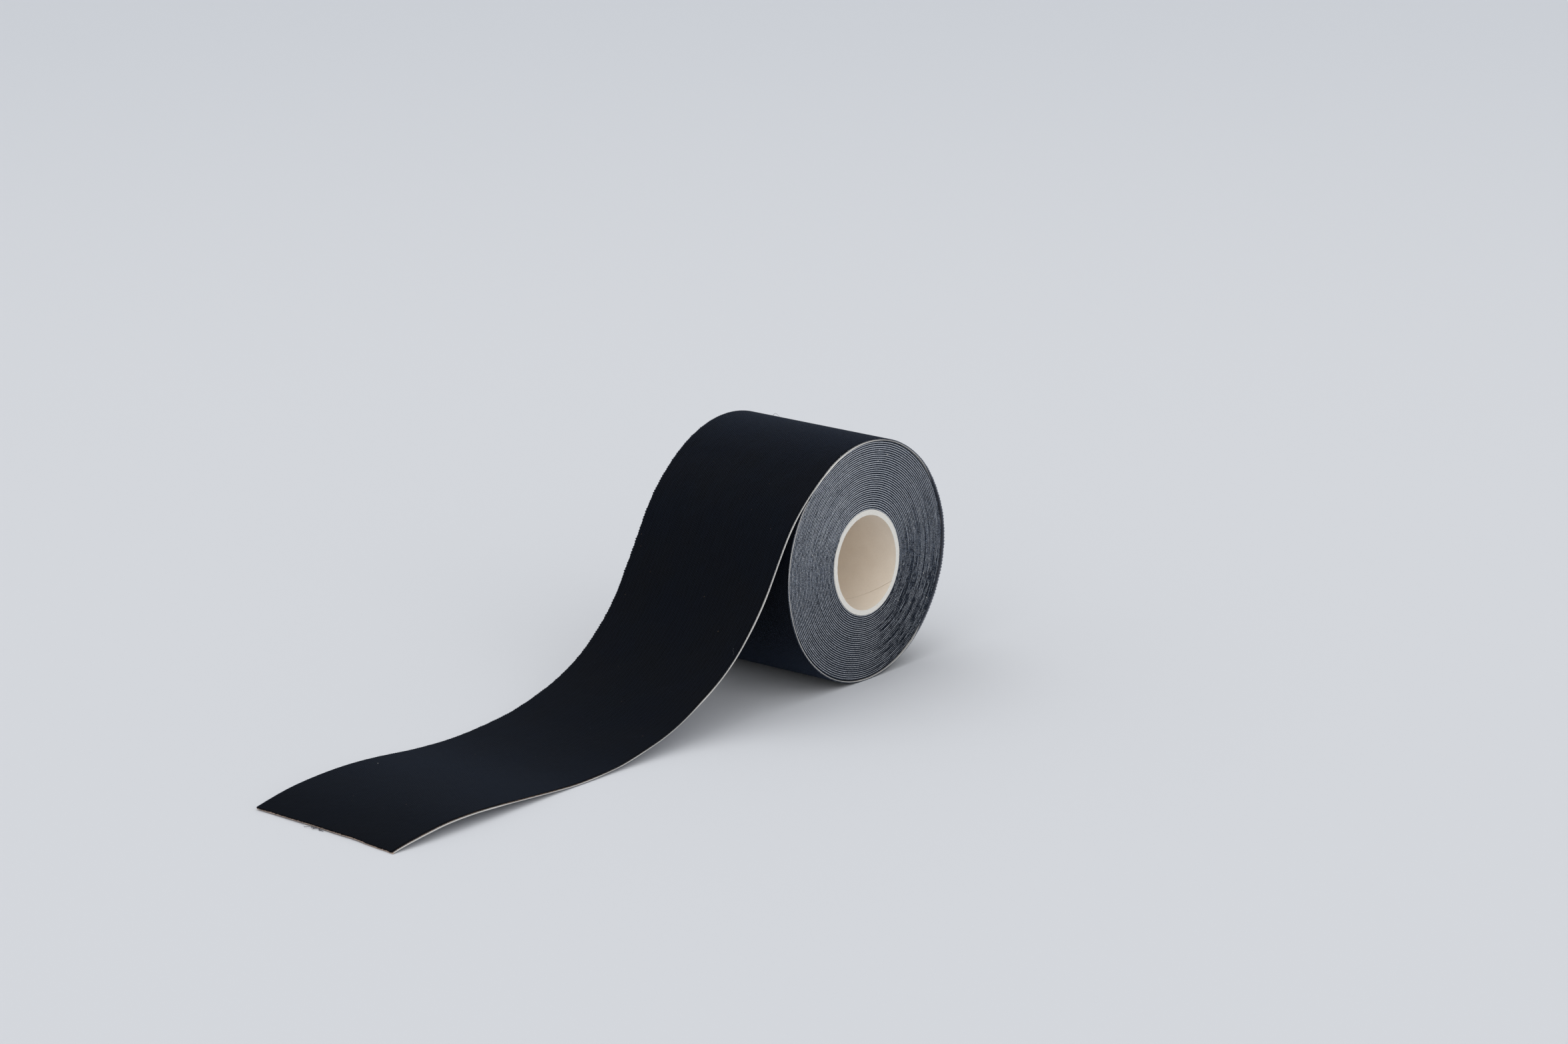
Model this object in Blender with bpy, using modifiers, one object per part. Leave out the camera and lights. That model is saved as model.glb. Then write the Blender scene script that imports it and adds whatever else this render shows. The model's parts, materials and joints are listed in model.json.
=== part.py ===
"""A roll of cloth sports tape on a cardboard core, its last turn loose and its free end laid out.

Units are metres, +Z is up. The roll's axis runs along Y, the roll stands on Z = 0 at X = 0, and the
tape comes off its top and runs out towards -X. The tape is two strips wound together: black cloth
outside, and the paper liner that covers its adhesive inside.

A path is a list of (x, z) points along the tape's under face, read from the free tip inwards, so
that the cloth is always on its upper or outer side. Every strip is a flat grid bent along a path.
"""

import math

import bmesh
import bpy
from mathutils import Matrix, Vector
from mathutils.geometry import interpolate_bezier

# Driving dimensions
TAPE_WIDTH = 0.050
CLOTH_THICKNESS = 0.00038
LINER_THICKNESS = 0.00011
LAYER_GAP = 0.00004
TURN_PITCH = 0.00059
TIGHT_LAYERS = 32

# Each tight turn is round, except for its last facets, where it steps over the turn below.
ROLL_FACETS = 24
LOOSE_FACETS = 48
STEP_FACETS = 2
TIGHT_END_ANGLE = -217.5

CORE_BORE_RADIUS = 0.0133
CORE_PLY_THICKNESSES = {
    "core_inner_ply": 0.00025,
    "core_board_ply_1": 0.00040,
    "core_board_ply_2": 0.00040,
    "core_outer_ply": 0.00025,
}
CORE_GAP = 0.00005
CORE_SEAM_WIDTH = 0.0003
CORE_SEAM_LEAD = 0.094
CORE_FIRST_SEAM = -34.0
CORE_SEAM_STAGGER = 75.0
SEAM_OVERRUN = 0.0025
SEAM_REACH = 0.0015
SEAM_STEPS = 28
START_STRIP_THICKNESS = 0.00008
START_STRIP_WIDTH = 0.044
START_STRIP_FACETS = 3

# The loose last turn: its clearance outside the tight turns, as (angle in degrees, extra slack).
# Angles turn from +X towards +Z and grow outwards along the tape.
SPIN_CLEARANCE = 0.0002
BOTTOM_SLACK = 0.00005
LOOSE_SLACK = [
    (-221.25, 0.0),
    (-180.0, 0.0),
    (-135.0, BOTTOM_SLACK),
    (-84.0, BOTTOM_SLACK),
    (-45.0, 0.0004),
    (0.0, 0.0009),
    (35.0, 0.0004),
    (62.0, 0.0),
    (123.75, 0.0),
]

# The free end, as Bezier spans: it drops off the roll, levels out, then lies in one low arch.
DROP_HANDLE = 0.0204
DROP_END = (-0.0468, 0.0289)
DROP_END_SLOPE = (-0.583, -0.8125)
DROP_END_HANDLES = (0.0200, 0.0298)
TOUCHDOWN = (-0.1158, 0.0006)
TOUCHDOWN_SLOPE = (-0.99999, -0.0042)
TOUCHDOWN_HANDLES = (0.0203, 0.0203)
ARCH_HANDLE = (-0.1576, 0.0065)
TIP = (-0.1854, 0.0)

DROP_SEGMENTS = 8
LEVEL_SEGMENTS = 12
ARCH_SEGMENTS = 12
SECTION_SEGMENTS = 4
SECTION_COUNT = 3
PEEL_SEGMENTS = 3
HINGE_GAP = 0.0003

# Dimensions that follow
STRIP_THICKNESS = LINER_THICKNESS + LAYER_GAP + CLOTH_THICKNESS
CLOTH_LIFT = LINER_THICKNESS + LAYER_GAP
ROLL_STEP = 360.0 / ROLL_FACETS
LOOSE_STEP = 360.0 / LOOSE_FACETS
CORE_OUTER_RADIUS = CORE_BORE_RADIUS + sum(CORE_PLY_THICKNESSES.values()) + 3 * CORE_GAP
FIRST_TURN_RADIUS = CORE_OUTER_RADIUS + START_STRIP_THICKNESS + 2 * CORE_GAP
TIGHT_TURNS = TIGHT_LAYERS - STEP_FACETS / ROLL_FACETS
CORE_END_ANGLE = TIGHT_END_ANGLE - 360.0 * TIGHT_TURNS
TIGHT_RADIUS = FIRST_TURN_RADIUS + (TIGHT_LAYERS - 1) * TURN_PITCH + STRIP_THICKNESS
LOOSE_RADIUS = TIGHT_RADIUS + SPIN_CLEARANCE
BOTTOM_FLAT = math.cos(math.radians(LOOSE_STEP / 2))
AXIS_HEIGHT = (LOOSE_RADIUS + BOTTOM_SLACK) * BOTTOM_FLAT + STRIP_THICKNESS

# Colours, as linear RGB with a roughness
BLACK_CLOTH = ((0.010, 0.011, 0.014), 0.85)
LINER_PAPER = ((0.78, 0.77, 0.74), 0.55)
INNER_KRAFT = ((0.42, 0.34, 0.26), 0.80)
CORE_BOARD = ((0.56, 0.50, 0.42), 0.90)
OUTER_KRAFT = ((0.70, 0.67, 0.62), 0.80)
START_STRIP = ((0.80, 0.78, 0.70), 0.40)


def clear_scene():
    for leftover in list(bpy.data.objects):
        bpy.data.objects.remove(leftover, do_unlink=True)


def new_collection(name):
    collection = bpy.data.collections.new(name)
    bpy.context.scene.collection.children.link(collection)
    return collection


def material(name, finish):
    colour, roughness = finish
    made = bpy.data.materials.new(name)
    made.use_nodes = True
    shader = made.node_tree.nodes["Principled BSDF"]
    shader.inputs["Base Color"].default_value = (*colour, 1.0)
    shader.inputs["Roughness"].default_value = roughness
    shader.inputs["Metallic"].default_value = 0.0
    made.diffuse_color = (*colour, 1.0)
    return made


def new_object(name, mesh, collection, parent, finish):
    made = bpy.data.objects.new(name, mesh)
    made.parent = parent
    mesh.materials.append(material(name, finish))
    collection.objects.link(made)
    return made


def centre_of(pivot):
    """The (x, z) point of a pivot, or the origin where there is none."""
    x = z = 0.0
    while pivot:
        x += pivot.location.x
        z += pivot.location.z
        pivot = pivot.parent
    return (x, z)


def new_pivot(name, collection, parent, centre):
    """An empty on a joint's axis, at the (x, z) point that centre gives."""
    empty = bpy.data.objects.new(name, None)
    empty.empty_display_size = 0.01
    empty.parent = parent
    base = centre_of(parent)
    empty.location = (centre[0] - base[0], 0.0, centre[1] - base[1])
    collection.objects.link(empty)
    return empty


# Paths


def on_roll(radius, angle):
    turned = math.radians(angle)
    return (radius * math.cos(turned), AXIS_HEIGHT + radius * math.sin(turned))


def slack_at(angle):
    """The loose turn's slack, eased from one listed angle to the next."""
    for (a0, s0), (a1, s1) in zip(LOOSE_SLACK, LOOSE_SLACK[1:]):
        if a0 <= angle <= a1:
            share = (angle - a0) / (a1 - a0)
            return s0 + (s1 - s0) * (1 - math.cos(math.pi * share)) / 2
    raise ValueError(angle)


def tight_path():
    """The tight turns, from where the loose turn leaves them in to the core."""
    path = []
    for i in range(round(TIGHT_TURNS * ROLL_FACETS), -1, -1):
        layer, facet = divmod(i, ROLL_FACETS)
        step = max(0, facet - ROLL_FACETS + STEP_FACETS) / STEP_FACETS
        radius = FIRST_TURN_RADIUS + TURN_PITCH * (layer + step)
        path.append(on_roll(radius, CORE_END_ANGLE + ROLL_STEP * i))
    return path


def loose_path():
    """The last turn, from where it leaves the roll's top round to where it joins the tight turns."""
    first, last = LOOSE_SLACK[-1][0], LOOSE_SLACK[0][0]
    count = round((first - last) / LOOSE_STEP)
    angles = [first - LOOSE_STEP * i for i in range(count + 1)]
    return [on_roll(LOOSE_RADIUS + slack_at(a), a) for a in angles]


def along(point, direction, length):
    return (point[0] + direction[0] * length, point[1] + direction[1] * length)


def bezier_span(start, handle_a, handle_b, end, segments):
    corners = [Vector((p[0], 0.0, p[1])) for p in (start, handle_a, handle_b, end)]
    return [(p.x, p.z) for p in interpolate_bezier(*corners, segments + 1)]


def free_end_spans():
    """The drop off the roll, the levelling out, and the low arch to the tip, each read outwards."""
    leave_angle = math.radians(LOOSE_SLACK[-1][0])
    leave = on_roll(LOOSE_RADIUS, LOOSE_SLACK[-1][0])
    leave_slope = (-math.sin(leave_angle), math.cos(leave_angle))
    drop = bezier_span(
        leave,
        along(leave, leave_slope, DROP_HANDLE),
        along(DROP_END, DROP_END_SLOPE, -DROP_END_HANDLES[0]),
        DROP_END,
        DROP_SEGMENTS,
    )
    level = bezier_span(
        DROP_END,
        along(DROP_END, DROP_END_SLOPE, DROP_END_HANDLES[1]),
        along(TOUCHDOWN, TOUCHDOWN_SLOPE, -TOUCHDOWN_HANDLES[0]),
        TOUCHDOWN,
        LEVEL_SEGMENTS,
    )
    arch = bezier_span(
        TOUCHDOWN,
        along(TOUCHDOWN, TOUCHDOWN_SLOPE, TOUCHDOWN_HANDLES[1]),
        ARCH_HANDLE,
        TIP,
        ARCH_SEGMENTS,
    )
    return drop, level, arch


def normals(path):
    """The upper or outer unit normal of each of the path's segments."""
    found = []
    for (x0, z0), (x1, z1) in zip(path, path[1:]):
        length = math.hypot(x1 - x0, z1 - z0)
        found.append((-(z1 - z0) / length, (x1 - x0) / length))
    return found


def lifted(path, height):
    """The path moved out by height, with every segment still parallel to its own."""
    sides = normals(path)
    moved = []
    for i, (x, z) in enumerate(path):
        a = sides[max(i - 1, 0)]
        b = sides[min(i, len(sides) - 1)]
        scale = height / (1 + a[0] * b[0] + a[1] * b[1])
        moved.append((x + (a[0] + b[0]) * scale, z + (a[1] + b[1]) * scale))
    return moved


def trimmed(path, at_start, at_end):
    """The path with a little cut off either end, to leave a gap at a hinge."""
    cut = list(path)
    for index, neighbour, amount in ((0, 1, at_start), (-1, -2, at_end)):
        (x0, z0), (x1, z1) = cut[index], cut[neighbour]
        share = amount / math.hypot(x1 - x0, z1 - z0)
        cut[index] = (x0 + (x1 - x0) * share, z0 + (z1 - z0) * share)
    return cut


# Pieces


def shade_round(surface):
    """Smooth shading, with the open surface's border kept sharp."""
    for face in surface.faces:
        face.smooth = True
    for edge in surface.edges:
        edge.smooth = not edge.is_boundary


def strip(name, path, lift, thickness, finish, collection, parent, width=TAPE_WIDTH):
    """A flat grid bent along the path and given its thickness on its upper or outer side."""
    base = centre_of(parent)
    points = lifted(path, lift)
    last = len(points) - 1
    mesh = bpy.data.meshes.new(name)
    grid = bmesh.new()
    bmesh.ops.create_grid(grid, x_segments=last, y_segments=1, size=1.0)
    for vert in grid.verts:
        x, z = points[round((vert.co.x + 1) / 2 * last)]
        vert.co = (x - base[0], math.copysign(width / 2, vert.co.y), z - base[1])
    shade_round(grid)
    grid.to_mesh(mesh)
    grid.free()
    made = new_object(name, mesh, collection, parent, finish)
    shell = made.modifiers.new("thickness", "SOLIDIFY")
    shell.thickness = thickness
    shell.offset = 1.0
    shell.use_even_offset = True
    return made


def cloth(name, path, collection, parent):
    return strip(name, path, CLOTH_LIFT, CLOTH_THICKNESS, BLACK_CLOTH, collection, parent)


def liner(name, path, collection, parent):
    return strip(name, path, 0.0, LINER_THICKNESS, LINER_PAPER, collection, parent)


def seam_cutter(name, radius, angle, collection, parent):
    """A thin helical blade that parts one ply of the core along its seam.

    The angle is the seam's at the core's end at -Y, and it falls as the seam runs towards +Y.
    """
    length = TAPE_WIDTH + 2 * SEAM_OVERRUN
    mesh = bpy.data.meshes.new(name)
    turned = math.radians(angle) + 2 * math.pi * SEAM_OVERRUN / CORE_SEAM_LEAD
    ends = []
    for distance in (radius - SEAM_REACH, radius + SEAM_REACH):
        x = distance * math.cos(turned)
        z = distance * math.sin(turned)
        ends.append((x, -length / 2, z))
    mesh.from_pydata(ends, [(0, 1)], [])
    made = bpy.data.objects.new(name, mesh)
    made.parent = parent
    collection.objects.link(made)
    sweep = made.modifiers.new("sweep", "SCREW")
    sweep.axis = "Y"
    sweep.screw_offset = length
    sweep.angle = 2 * math.pi * length / CORE_SEAM_LEAD
    sweep.steps = SEAM_STEPS
    sweep.render_steps = SEAM_STEPS
    sweep.use_merge_vertices = False
    blade = made.modifiers.new("thickness", "SOLIDIFY")
    blade.thickness = CORE_SEAM_WIDTH
    blade.offset = 0.0
    made.hide_render = True
    made.display_type = "WIRE"
    return made


def core_ply(name, inner_radius, thickness, seam_angle, finish, parts, cutters, parent):
    """One paper strip wound into a tube: a thin tube parted by its helical seam."""
    mesh = bpy.data.meshes.new(name)
    tube = bmesh.new()
    onto_station = Matrix.Rotation(math.radians(ROLL_STEP / 2), 4, "Z")
    bmesh.ops.create_cone(
        tube,
        cap_ends=False,
        segments=ROLL_FACETS,
        radius1=inner_radius,
        radius2=inner_radius,
        depth=TAPE_WIDTH,
        matrix=Matrix.Rotation(math.radians(90.0), 4, "X") @ onto_station,
    )
    shade_round(tube)
    tube.to_mesh(mesh)
    tube.free()
    made = new_object(name, mesh, parts, parent, finish)
    shell = made.modifiers.new("thickness", "SOLIDIFY")
    shell.thickness = thickness
    shell.offset = 1.0
    shell.use_even_offset = True
    cut = made.modifiers.new("seam", "BOOLEAN")
    cut.operation = "DIFFERENCE"
    cut.solver = "EXACT"
    cut.object = seam_cutter(name + "_seam", inner_radius, seam_angle, cutters, parent)
    return made


def core(parts, cutters, roll):
    radius = CORE_BORE_RADIUS
    finishes = (INNER_KRAFT, CORE_BOARD, CORE_BOARD, OUTER_KRAFT)
    for index, (name, thickness) in enumerate(CORE_PLY_THICKNESSES.items()):
        seam = CORE_FIRST_SEAM + CORE_SEAM_STAGGER * index
        core_ply(name, radius, thickness, seam, finishes[index], parts, cutters, roll)
        radius += thickness + CORE_GAP
    angles = [CORE_END_ANGLE + ROLL_STEP * i for i in range(START_STRIP_FACETS, -1, -1)]
    path = [on_roll(CORE_OUTER_RADIUS + CORE_GAP, a) for a in angles]
    strip(
        "core_start_strip",
        path,
        0.0,
        START_STRIP_THICKNESS,
        START_STRIP,
        parts,
        roll,
        START_STRIP_WIDTH,
    )


def free_end(arch, parts):
    """The lying end in hinged sections, with the cloth's last stretch free to peel."""
    top = lifted(arch[::-1], STRIP_THICKNESS)[::-1]
    parent = None
    gap = HINGE_GAP / 2
    for number in range(1, SECTION_COUNT + 1):
        start = (number - 1) * SECTION_SEGMENTS
        end = number * SECTION_SEGMENTS
        parent = new_pivot(f"free_end_hinge_{number}", parts, parent, top[start])
        outer_gap = gap if number < SECTION_COUNT else 0.0
        whole = trimmed(arch[start : end + 1], gap, outer_gap)
        liner(f"free_end_liner_{number}", whole[::-1], parts, parent)
        if number < SECTION_COUNT:
            cloth(f"free_end_cloth_{number}", whole[::-1], parts, parent)
    peel = ARCH_SEGMENTS - PEEL_SEGMENTS
    held = trimmed(arch[start : peel + 1], gap, gap)
    cloth(f"free_end_cloth_{SECTION_COUNT}", held[::-1], parts, parent)
    parent = new_pivot("peel_hinge", parts, parent, top[peel])
    cloth("peel_tip_cloth", trimmed(arch[peel:], gap, 0.0)[::-1], parts, parent)


def unwound(drop, level, parts):
    """The loose last turn and the tape's drop to the surface it lies on, in one stretch."""
    outwards = loose_path()[::-1] + drop[1:] + level[1:]
    path = trimmed(outwards, 0.0, HINGE_GAP / 2)[::-1]
    cloth("unwound_cloth", path, parts, None)
    liner("unwound_liner", path, parts, None)


def build():
    clear_scene()
    parts = new_collection("sports_tape_roll")
    cutters = new_collection("cutters")
    roll = new_pivot("roll_axis", parts, None, (0.0, AXIS_HEIGHT))
    core(parts, cutters, roll)
    cloth("wound_cloth", tight_path(), parts, roll)
    liner("wound_liner", tight_path(), parts, roll)
    drop, level, arch = free_end_spans()
    unwound(drop, level, parts)
    free_end(arch, parts)


build()
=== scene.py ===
"""Looks for the roll of cloth sports tape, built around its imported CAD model.

Metres, in the model's own frame: the roll's axis runs along Y, the roll stands on Z = 0 at X = 0,
and the free end lies along -X. Every strip follows the tape's under face, given as (x, z) points
read from the free tip inwards, with the distance from the tip kept as its length.
"""

import json
import math

import bpy
import numpy as np
from mathutils import Matrix, Vector


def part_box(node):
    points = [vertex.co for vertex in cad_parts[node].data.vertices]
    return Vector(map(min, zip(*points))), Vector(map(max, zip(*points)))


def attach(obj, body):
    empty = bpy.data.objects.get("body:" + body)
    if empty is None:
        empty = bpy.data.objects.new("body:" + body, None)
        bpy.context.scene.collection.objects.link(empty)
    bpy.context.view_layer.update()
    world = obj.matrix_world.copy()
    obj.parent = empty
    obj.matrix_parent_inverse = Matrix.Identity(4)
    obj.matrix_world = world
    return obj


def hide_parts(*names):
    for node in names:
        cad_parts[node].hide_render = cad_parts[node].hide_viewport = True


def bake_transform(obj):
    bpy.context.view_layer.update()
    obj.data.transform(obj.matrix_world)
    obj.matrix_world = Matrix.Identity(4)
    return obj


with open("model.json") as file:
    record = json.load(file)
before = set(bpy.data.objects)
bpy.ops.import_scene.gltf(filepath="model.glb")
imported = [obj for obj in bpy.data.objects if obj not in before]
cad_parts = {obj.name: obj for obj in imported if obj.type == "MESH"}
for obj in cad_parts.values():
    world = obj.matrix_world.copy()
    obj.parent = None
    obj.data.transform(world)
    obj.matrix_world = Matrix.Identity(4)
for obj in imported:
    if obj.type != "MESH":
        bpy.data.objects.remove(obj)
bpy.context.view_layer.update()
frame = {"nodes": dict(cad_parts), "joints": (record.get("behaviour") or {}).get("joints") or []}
joints = {joint["name"]: joint for joint in frame["joints"]}

MM = 0.001

# The tape, as the CAD model has it
AXIS_HEIGHT = joints["roll_spin"]["pos_m"][2]
NEAR_Y, FAR_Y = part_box("wound_cloth")[0].y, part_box("wound_cloth")[1].y
WIDTH = FAR_Y - NEAR_Y
LINER_THICKNESS = 0.11 * MM
LAYER_GAP = 0.04 * MM
CLOTH_THICKNESS = 0.38 * MM
TURN_PITCH = 0.59 * MM
TAPE_THICKNESS = LINER_THICKNESS + LAYER_GAP + CLOTH_THICKNESS
TIGHT_LAYERS = 32
STEP_SHARE = 2 / 24
FIRST_TURN_RADIUS = 14.93 * MM
TIGHT_END_ANGLE = -217.5
LOOSE_RADIUS = 33.95 * MM
CORE_BORE_RADIUS = 13.3 * MM
CORE_PLIES = {
    "core_inner_ply": 0.28 * MM,
    "core_board_ply_1": 0.43 * MM,
    "core_board_ply_2": 0.43 * MM,
    "core_outer_ply": 0.28 * MM,
}
CORE_GAP = 0.01 * MM
CORE_SEAM_LEAD = 94.0 * MM

# The loose last turn's slack, as (angle in degrees, slack): angles turn from +X towards +Z
LOOSE_SLACK = (
    (-221.25, -0.12 * MM),
    (-210.0, 0.0),
    (-180.0, 0.0),
    (-135.0, 0.05 * MM),
    (-84.0, 0.05 * MM),
    (-45.0, 0.4 * MM),
    (0.0, 0.9 * MM),
    (35.0, 0.45 * MM),
    (62.0, 0.25 * MM),
    (123.75, 0.2 * MM),
)

# The free end's three Bezier spans, as in the CAD model
DROP_HANDLE = 20.4 * MM
DROP_END = Vector((-46.8, 28.9)) * MM
DROP_END_SLOPE = Vector((-0.583, -0.8125))
DROP_END_HANDLES = (20.0 * MM, 29.8 * MM)
TOUCHDOWN = Vector((-115.8, 0.6)) * MM
TOUCHDOWN_SLOPE = Vector((-0.99999, -0.0042))
TOUCHDOWN_HANDLES = (20.3 * MM, 20.3 * MM)
ARCH_HANDLE = Vector((-157.6, 6.5)) * MM
TIP = Vector((-185.4, 0.0)) * MM

# How the loose tape twists, as (distance from the tip, how far its far edge lifts and near edge sinks)
TWIST = (
    (0.0, -0.10 * MM),
    (15 * MM, 0.15 * MM),
    (40 * MM, 0.45 * MM),
    (62 * MM, 0.32 * MM),
    (80 * MM, 0.2 * MM),
    (98 * MM, -0.25 * MM),
    (120 * MM, -0.9 * MM),
    (138 * MM, -0.65 * MM),
    (156 * MM, 0.0),
    (188 * MM, 0.55 * MM),
    (212 * MM, 0.35 * MM),
    (262 * MM, 0.0),
    (400 * MM, 0.0),
)

# The hand-cut end, as (place across, how far it's cut back); the near corner sticks out furthest
CUT_BACK = (
    (-25 * MM, 0.0),
    (-21.5 * MM, 0.3 * MM),
    (-8 * MM, 1.25 * MM),
    (8 * MM, 1.6 * MM),
    (25 * MM, 1.7 * MM),
)

# The cut's slant is taken up over this much of the tape
CUT_REACH = 14 * MM

# How large the far edge's teeth are, as (distance from the tip in mm, size in mm)
FAR_TEETH = ((0, 0.08), (25, 0.10), (45, 0.20), (110, 0.26), (145, 0.36), (185, 0.34), (205, 0.16))

# The bends of the free end, as (joint, the body past it, how much of the strip before its hinge
# turns with it, and how much past it); the peel turns late, so that the cloth stays off the liner
BENDS = (
    ("end_lift", "free_end_1", 6.0 * MM, 6.0 * MM),
    ("end_curl_1", "free_end_2", 6.0 * MM, 6.0 * MM),
    ("end_curl_2", "free_end_3", 3.0 * MM, 3.0 * MM),
    ("cloth_peel", "peel_tip", 0.8 * MM, 2.6 * MM),
)

# How far the liner's near edge shows past the cloth's, as (distance from the tip, how far)
LINER_PROUD = (
    (0.0, 0.30 * MM),
    (12 * MM, 0.50 * MM),
    (30 * MM, 0.42 * MM),
    (60 * MM, 0.22 * MM),
    (100 * MM, 0.12 * MM),
    (130 * MM, 0.28 * MM),
    (150 * MM, 0.34 * MM),
    (180 * MM, 0.22 * MM),
    (197 * MM, 0.48 * MM),
    (212 * MM, 0.42 * MM),
    (228 * MM, 0.12 * MM),
    (238 * MM, 0.0),
    (252 * MM, -0.9 * MM),
    (288 * MM, -0.9 * MM),
    (299 * MM, 0.12 * MM),
    (330 * MM, 0.16 * MM),
    (400 * MM, 0.10 * MM),
)

# How far the wound liner's edges sit behind the cloth's, as (angle in degrees, how far)
LINER_RECESS = (
    (-180.0, 0.042 * MM),
    (-140.0, 0.058 * MM),
    (-90.0, 0.145 * MM),
    (-45.0, 0.120 * MM),
    (0.0, 0.102 * MM),
    (60.0, 0.072 * MM),
    (95.0, 0.036 * MM),
    (140.0, 0.026 * MM),
    (180.0, 0.042 * MM),
)

# The wound tape's length starts from here, in metres, past the end of the loose tape's own
WOUND_START = 0.4

# Colours
# The liner's faces, a mid grey for a white paper: painted shade for the faces seen in the tape's gaps and
# beneath it.
SHADED_LINER_FACE = ((0.54, 0.54, 0.55), (0.47, 0.47, 0.48))
CORE_RIM = (0.84, 0.82, 0.77)
TAN = (0.36, 0.20, 0.12, 1.0)

rng = np.random.default_rng(7)


# Node trees


def node(tree, kind, inputs=None, **settings):
    """A new node, with its inputs set to values or linked to sockets."""
    made = tree.nodes.new(kind)
    for key, value in settings.items():
        setattr(made, key, value)
    for key, value in (inputs or {}).items():
        if isinstance(value, bpy.types.NodeSocket):
            tree.links.new(value, made.inputs[key])
        else:
            made.inputs[key].default_value = value
    return made


def maths(tree, operation, *values, clamp=False):
    inputs = dict(enumerate(values))
    return node(tree, "ShaderNodeMath", inputs, operation=operation, use_clamp=clamp).outputs[0]


def ramp(tree, value, low, high, out_low=0.0, out_high=1.0):
    inputs = {"Value": value, "From Min": low, "From Max": high, "To Min": out_low, "To Max": out_high}
    return node(tree, "ShaderNodeMapRange", inputs, interpolation_type="SMOOTHSTEP").outputs[0]


def noise(tree, where, scale, detail=2.0, roughness=0.5):
    inputs = {"Vector": where, "Scale": scale, "Detail": detail, "Roughness": roughness}
    return node(tree, "ShaderNodeTexNoise", inputs).outputs["Fac"]


def mix(tree, share, first, second):
    inputs = {"Factor": share, 6: first, 7: second}
    return node(tree, "ShaderNodeMix", inputs, data_type="RGBA").outputs[2]


def new_material(name, roughness, **settings):
    """A Principled material, its tree, and its shader; plain numbers go on the shader's own sockets."""
    made = bpy.data.materials.new(name)
    made.use_nodes = True
    shader = made.node_tree.nodes["Principled BSDF"]
    shader.inputs["Roughness"].default_value = roughness
    for key, value in settings.items():
        shader.inputs[key.replace("_", " ")].default_value = value
    return made, made.node_tree, shader


def bump(tree, shader, height, distance, strength=1.0):
    inputs = {"Height": height, "Distance": distance, "Strength": strength}
    made = node(tree, "ShaderNodeBump", inputs)
    tree.links.new(made.outputs["Normal"], shader.inputs["Normal"])


def in_millimetres(tree, vector):
    """The vector, from metres to millimetres."""
    inputs = {0: vector, 1: (1 / MM, 1 / MM, 1 / MM)}
    return node(tree, "ShaderNodeVectorMath", inputs, operation="MULTIPLY").outputs[0]


def tape_place(tree):
    """The place on the tape in millimetres: its vector, its length from the tip, its place across."""
    uv = node(tree, "ShaderNodeUVMap", uv_map="tape").outputs["UV"]
    place = in_millimetres(tree, uv)
    parts = node(tree, "ShaderNodeSeparateXYZ", {0: place})
    return place, parts.outputs["X"], parts.outputs["Y"]


def object_place(tree):
    """The place on the object in millimetres."""
    return in_millimetres(tree, node(tree, "ShaderNodeTexCoord").outputs["Object"])


def ring_place(tree):
    """Where a point is on the roll: 1 at its left and right, and from -1 at its foot to 1 at its top."""
    parts = node(tree, "ShaderNodeSeparateXYZ", {0: object_place(tree)})
    x = maths(tree, "ABSOLUTE", parts.outputs["X"])
    z = maths(tree, "SUBTRACT", parts.outputs["Z"], AXIS_HEIGHT / MM)
    reach = maths(tree, "ADD", maths(tree, "ADD", x, maths(tree, "ABSOLUTE", z)), 0.01)
    return maths(tree, "DIVIDE", x, reach), maths(tree, "DIVIDE", z, reach)


def near_edge(tree, across, outside, whole):
    """0 where the tape's edges are further than outside, and 1 where they're closer than whole, in mm."""
    half = WIDTH / 2 / MM
    return ramp(tree, maths(tree, "ABSOLUTE", across), half - outside, half - whole)


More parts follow.
